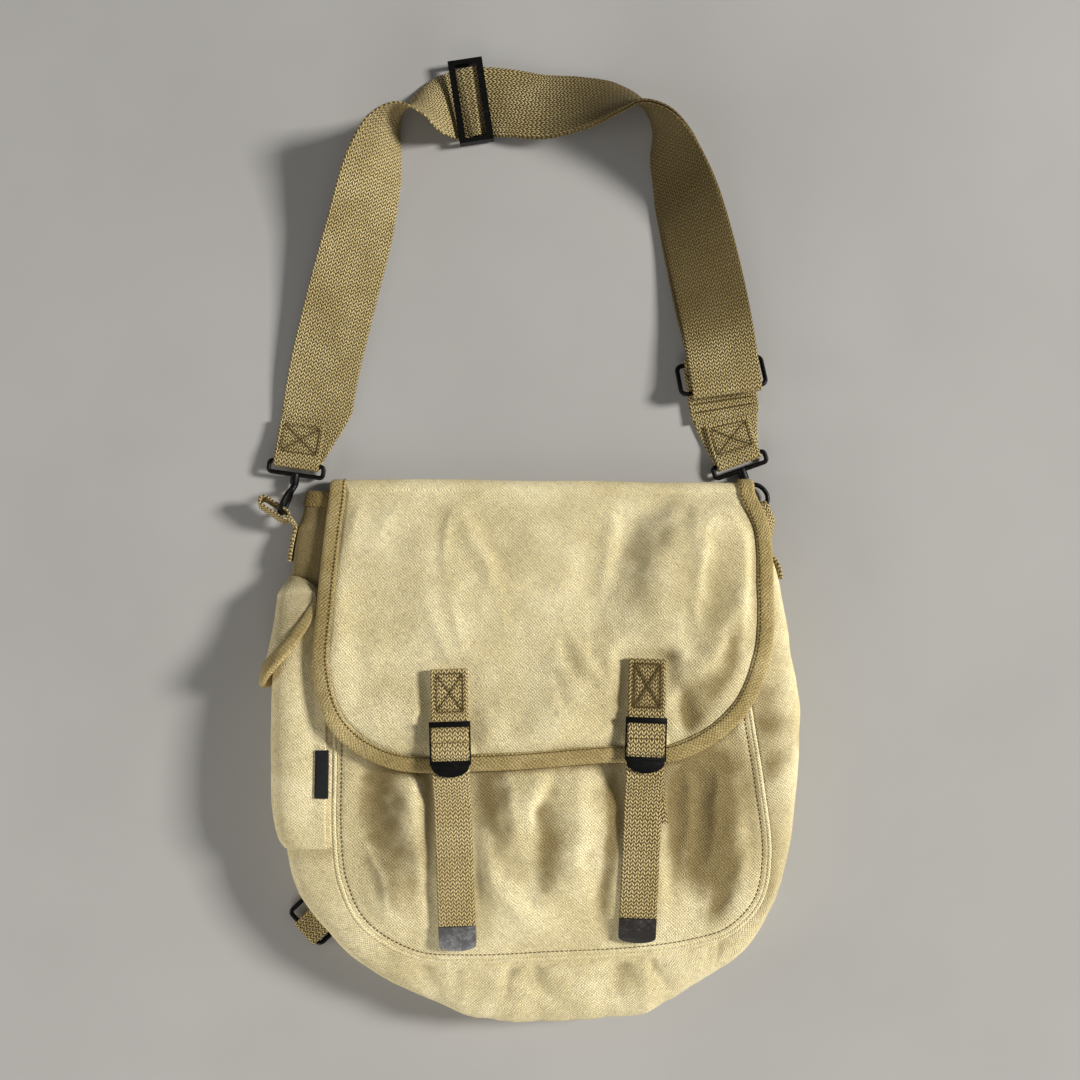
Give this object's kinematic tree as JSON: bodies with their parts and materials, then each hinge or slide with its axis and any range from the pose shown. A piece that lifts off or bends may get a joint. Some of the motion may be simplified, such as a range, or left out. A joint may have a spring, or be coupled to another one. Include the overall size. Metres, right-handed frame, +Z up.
{
  "type": "musette bag",
  "caption": "Khaki canvas musette bag lying on its back with the flap closed, webbing shoulder strap on snap hooks laid out above it.",
  "frame": {"origin": "middle of the footprint, on the floor the bag lies on", "axes": "+Z up from the floor through the front of the bag, +Y from the bag to the top of the laid-out shoulder strap, +X to the right of the bag as seen from above"},
  "size_m": [0.3692, 0.6598, 0.0657],
  "materials": {
    "canvas": "matte",
    "binding_tape": "matte",
    "webbing": "matte",
    "black_metal": "satin",
    "worn_steel": "satin",
    "label_cloth": "matte"
  },
  "bodies": {
    "root": {"front_panel": "canvas", "back_panel": "canvas", "gusset": "canvas", "front_piping": "canvas", "flap": "canvas", "side_pocket": "canvas", "pocket_flap": "canvas", "flap_binding": "binding_tape", "hem_tape_left": "binding_tape", "pocket_flap_binding": "binding_tape", "flap_tab_left": "webbing", "closing_strap_left": "webbing", "flap_tab_right": "webbing", "closing_strap_right": "webbing", "shoulder_strap": "webbing", "side_loop_left": "webbing", "side_loop_right": "webbing", "hook_tab_right": "webbing", "back_tab": "webbing", "buckle_left": "black_metal", "buckle_right": "black_metal", "strap_slider": "black_metal", "strap_ring": "black_metal", "snap_bail_left": "black_metal", "snap_hook_left": "black_metal", "snap_bail_right": "black_metal", "snap_hook_right": "black_metal", "back_ring": "black_metal", "strap_tip_left": "worn_steel", "strap_tip_right": "worn_steel", "side_label": "label_cloth"}
  },
  "joints": []
}
